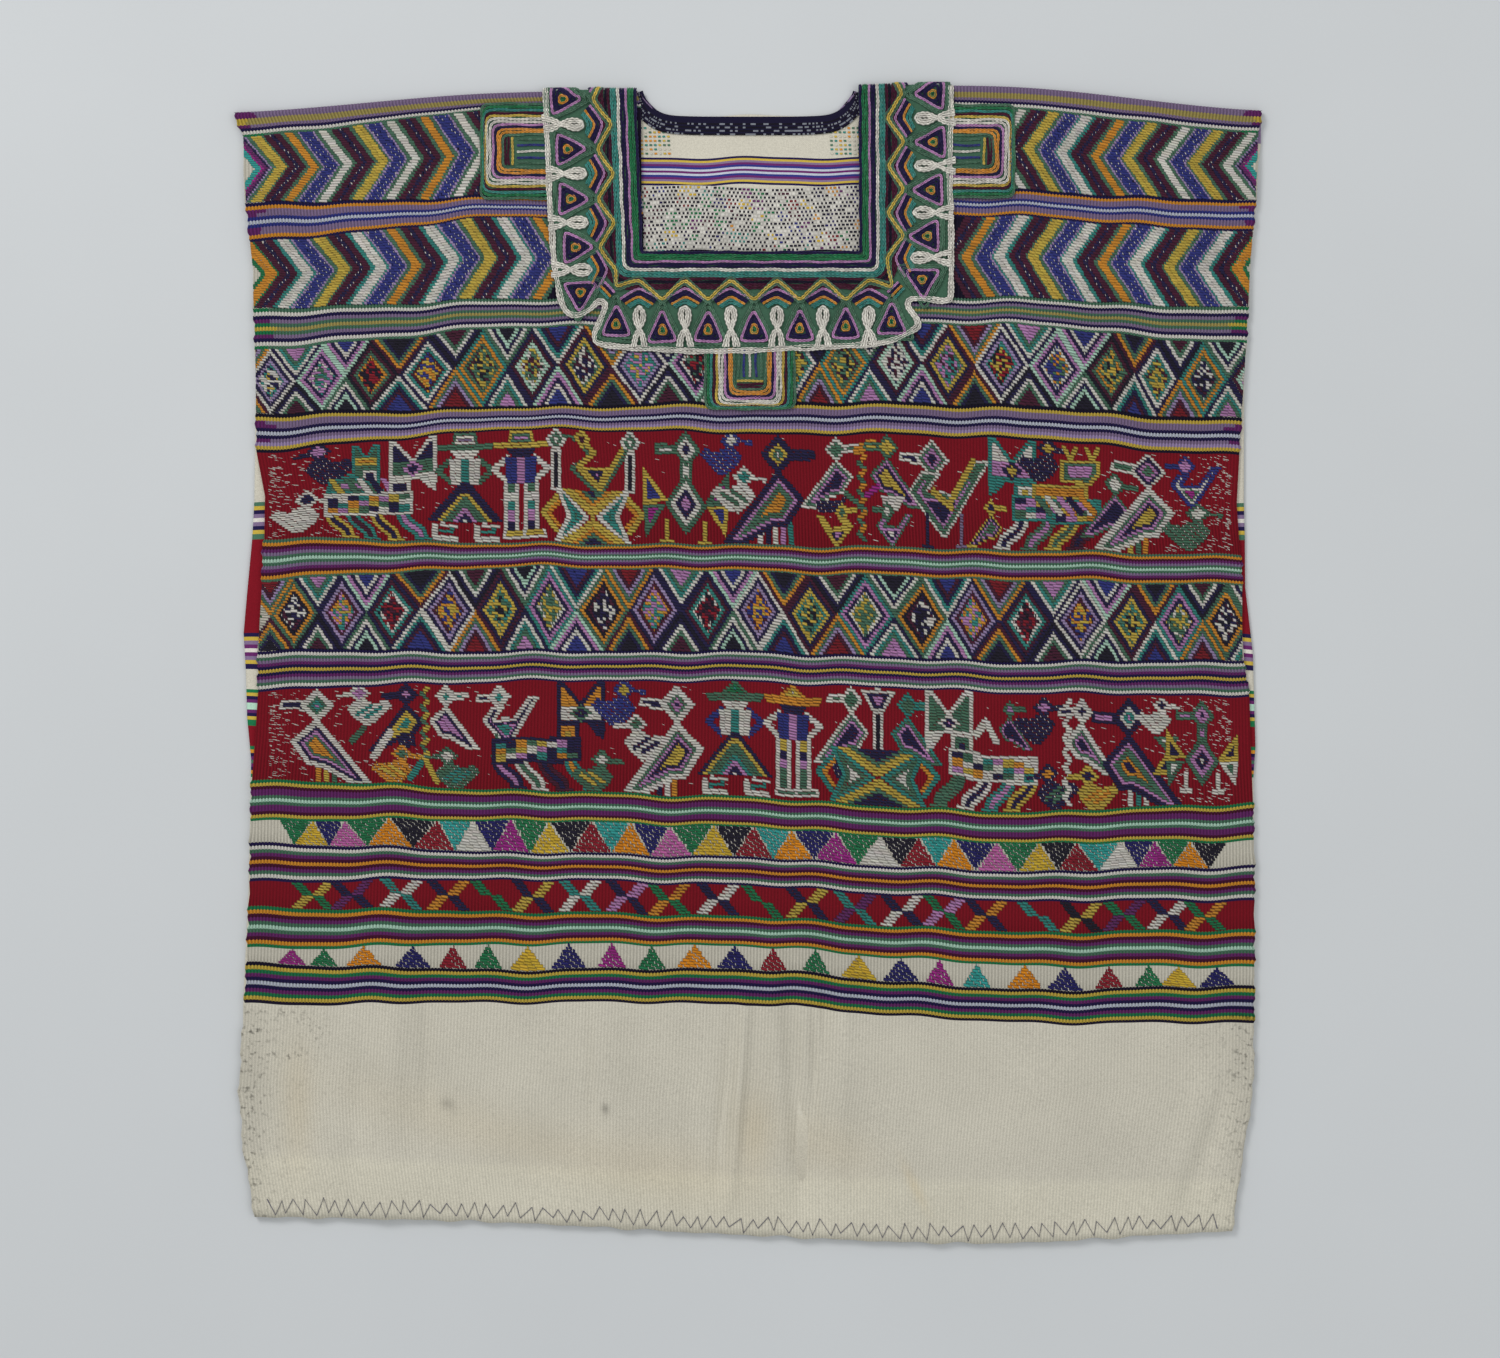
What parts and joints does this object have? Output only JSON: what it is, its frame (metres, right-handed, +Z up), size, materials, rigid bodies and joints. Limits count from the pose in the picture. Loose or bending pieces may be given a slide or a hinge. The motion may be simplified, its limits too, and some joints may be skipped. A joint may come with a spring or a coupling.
{
  "type": "huipil blouse",
  "caption": "Hand-woven brocaded huipil blouse laid flat: one web folded at the shoulders, square neck with raised corded collar, open sides, plain hem band.",
  "frame": {"origin": "bottom centre of the blouse's bounding box, on the surface it lies on", "axes": "+X across the shoulders towards the viewer's right, +Y from the hem to the shoulder fold, +Z up from the surface"},
  "size_m": [0.7702, 0.871, 0.0104],
  "materials": {
    "woven_cloth": "matt hand-woven cotton with brocaded coloured wefts",
    "navy_cotton": "matt stitched cotton",
    "chain_stitch": "matt corded cotton embroidery",
    "white_cord": "matt off-white cotton cord"
  },
  "bodies": {
    "root": {"back_panel": "woven_cloth", "front_panel": "woven_cloth", "neck_embroidery": "chain_stitch", "back_neck_edging": "navy_cotton", "edge_cord": "white_cord", "rosette_left": "chain_stitch", "rosette_right": "chain_stitch", "rosette_front": "chain_stitch", "tooth_left_1": "chain_stitch", "tooth_left_2": "chain_stitch", "tooth_left_3": "chain_stitch", "tooth_left_4": "chain_stitch", "tooth_left_5": "chain_stitch", "tooth_right_1": "chain_stitch", "tooth_right_2": "chain_stitch", "tooth_right_3": "chain_stitch", "tooth_right_4": "chain_stitch", "tooth_right_5": "chain_stitch", "tooth_front_1": "chain_stitch", "tooth_front_2": "chain_stitch", "tooth_front_3": "chain_stitch", "tooth_front_4": "chain_stitch", "tooth_front_5": "chain_stitch", "tooth_front_6": "chain_stitch", "tooth_front_7": "chain_stitch", "loop_left_1": "white_cord", "loop_left_2": "white_cord", "loop_left_3": "white_cord", "loop_left_4": "white_cord", "loop_right_1": "white_cord", "loop_right_2": "white_cord", "loop_right_3": "white_cord", "loop_right_4": "white_cord", "loop_front_1": "white_cord", "loop_front_2": "white_cord", "loop_front_3": "white_cord", "loop_front_4": "white_cord", "loop_front_5": "white_cord", "loop_front_6": "white_cord"}
  },
  "joints": []
}
